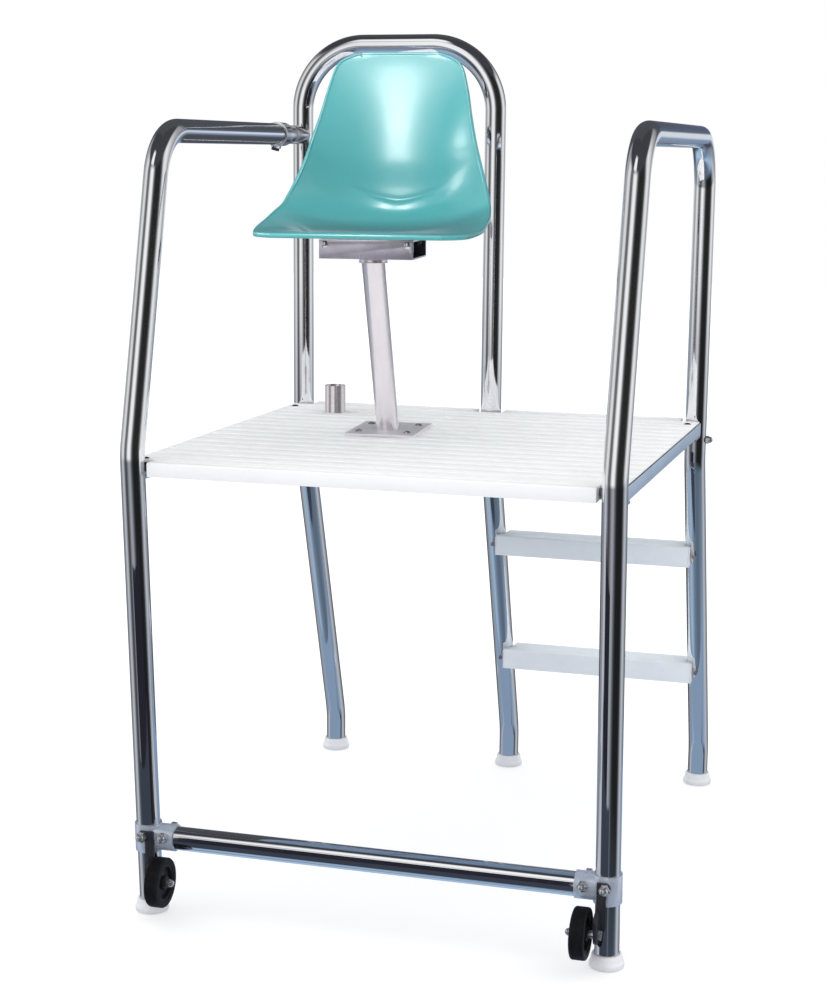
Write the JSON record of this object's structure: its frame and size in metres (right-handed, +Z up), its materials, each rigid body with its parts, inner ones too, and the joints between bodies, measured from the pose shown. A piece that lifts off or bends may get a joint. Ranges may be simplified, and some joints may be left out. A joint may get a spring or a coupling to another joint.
{
  "type": "lifeguard chair",
  "caption": "Pool lifeguard chair: bent tube frame with a raised ribbed deck, a rear ladder, a swivelling shell seat, an umbrella sleeve and transport wheels.",
  "frame": {"origin": "on the floor, under the middle of the chair's box", "axes": "+X to the right as seen from the front, +Y to the back, +Z up"},
  "size_m": [1.0342, 1.32, 1.8102],
  "materials": {
    "polished_tube": "mirror-polished stainless tube",
    "cast_fitting": "polished cast fitting, slightly blue",
    "satin_steel": "satin stainless steel",
    "foot_rubber": "white moulded rubber",
    "deck_board": "white powder coat on ribbed boards",
    "deck_angle": "blue-grey anodised",
    "under_deck_metal": "mill finish",
    "tread": "pale satin coat, ribbed",
    "tread_cap": "white moulded plastic",
    "bush_nylon": "natural nylon",
    "seat_shell": "glossy teal moulded shell",
    "bracket_paint": "black paint",
    "tyre": "black rubber with fine ribs",
    "hub": "black moulded plastic",
    "dark_bolt": "blackened steel",
    "bright_fastener": "polished stainless"
  },
  "bodies": {
    "frame": {"left_front_rail": "polished_tube", "right_side_rail": "polished_tube", "back_hoop": "polished_tube", "front_bar": "polished_tube", "left_bar_tee": "cast_fitting", "right_bar_tee": "cast_fitting", "bar_tee_bolts": "bright_fastener", "bar_cap_nuts": "bright_fastener", "rail_end_clamp": "cast_fitting", "rail_clamp_bolt": "dark_bolt", "front_left_foot": "foot_rubber", "front_right_foot": "foot_rubber", "rear_left_foot": "foot_rubber", "ladder_foot": "foot_rubber", "rear_right_foot": "foot_rubber", "front_deck_board": "deck_board", "deck_board_2": "deck_board", "deck_board_3": "deck_board", "deck_board_4": "deck_board", "deck_board_5": "deck_board", "deck_board_6": "deck_board", "deck_board_7": "deck_board", "deck_board_8": "deck_board", "rear_deck_board": "deck_board", "left_deck_angle": "deck_angle", "right_deck_angle": "deck_angle", "left_deck_bearer": "under_deck_metal", "right_deck_bearer": "under_deck_metal", "deck_corner_bolts": "dark_bolt", "rear_left_bracket": "under_deck_metal", "ladder_bracket": "under_deck_metal", "rear_right_bracket": "under_deck_metal", "frame_bolts": "bright_fastener", "acorn_nuts": "bright_fastener", "upper_tread": "tread", "lower_tread": "tread", "tread_end_caps": "tread_cap", "tread_bolts": "bright_fastener", "seat_post": "satin_steel", "base_plate_bolts": "bright_fastener", "swivel_bolt": "bright_fastener", "swivel_nut": "bright_fastener", "umbrella_sleeve": "satin_steel", "left_wheel_bracket": "bracket_paint", "right_wheel_bracket": "bracket_paint", "wheel_axles": "bright_fastener", "axle_cap_nuts": "bright_fastener", "axle_spacers": "bright_fastener"},
    "seat": {"swivel_bush": "bush_nylon", "seat_bracket": "satin_steel", "seat_plate": "satin_steel", "bracket_screws": "bright_fastener", "seat_shell": "seat_shell", "seat_screws": "bright_fastener"},
    "left_wheel": {"left_tyre": "tyre", "left_hub": "hub"},
    "right_wheel": {"right_tyre": "tyre", "right_hub": "hub"}
  },
  "joints": [
    {"name": "seat_swivel", "type": "hinge", "parent": "frame", "child": "seat", "pos_m": [-0.132, -0.152, 1.327], "axis": [0, 0, 1], "continuous": true},
    {"name": "left_wheel_spin", "type": "hinge", "parent": "frame", "child": "left_wheel", "pos_m": [-0.4355, -0.609, 0.082], "axis": [1, 0, 0], "continuous": true},
    {"name": "right_wheel_spin", "type": "hinge", "parent": "frame", "child": "right_wheel", "pos_m": [0.4355, -0.609, 0.082], "axis": [1, 0, 0], "continuous": true}
  ]
}
